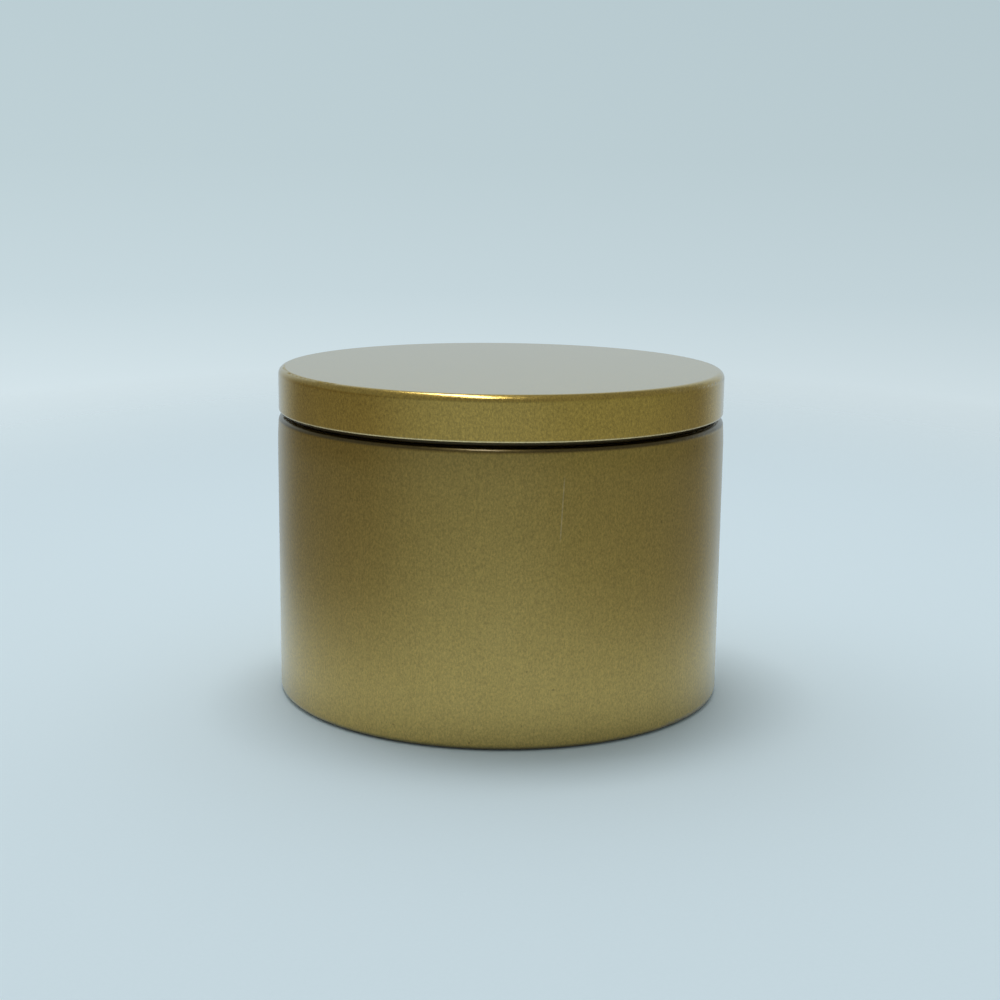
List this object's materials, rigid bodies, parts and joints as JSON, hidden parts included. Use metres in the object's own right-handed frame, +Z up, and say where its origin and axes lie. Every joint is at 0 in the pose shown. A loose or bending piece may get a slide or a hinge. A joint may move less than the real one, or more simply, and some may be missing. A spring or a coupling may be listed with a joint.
{
  "type": "candle tin",
  "caption": "Round seamless metal candle tin with a slip lid over a stepped-in neck, holding a poured wax candle with a braided wick.",
  "frame": {"origin": "centre of the circle that the closed tin stands on, on the table", "axes": "+Z up along the tin's axis; the tin is round, so X and Y are any two square directions"},
  "size_m": [0.0784, 0.0784, 0.0575],
  "materials": {
    "gold_lacquer": "satin",
    "candle_wax": "satin",
    "waxed_cotton": "matte",
    "bare_tinplate": "satin",
    "foam_adhesive": "matte"
  },
  "bodies": {
    "tin": {"tin_body": "gold_lacquer", "wax": "candle_wax", "wick": "waxed_cotton", "wick_sustainer": "bare_tinplate", "wick_sticker": "foam_adhesive"},
    "lid": {"lid": "gold_lacquer"}
  },
  "joints": [
    {"name": "lid_lift", "type": "slide", "parent": "tin", "child": "lid", "axis": [0, 0, 1], "range_m": [0, 0.05]}
  ]
}
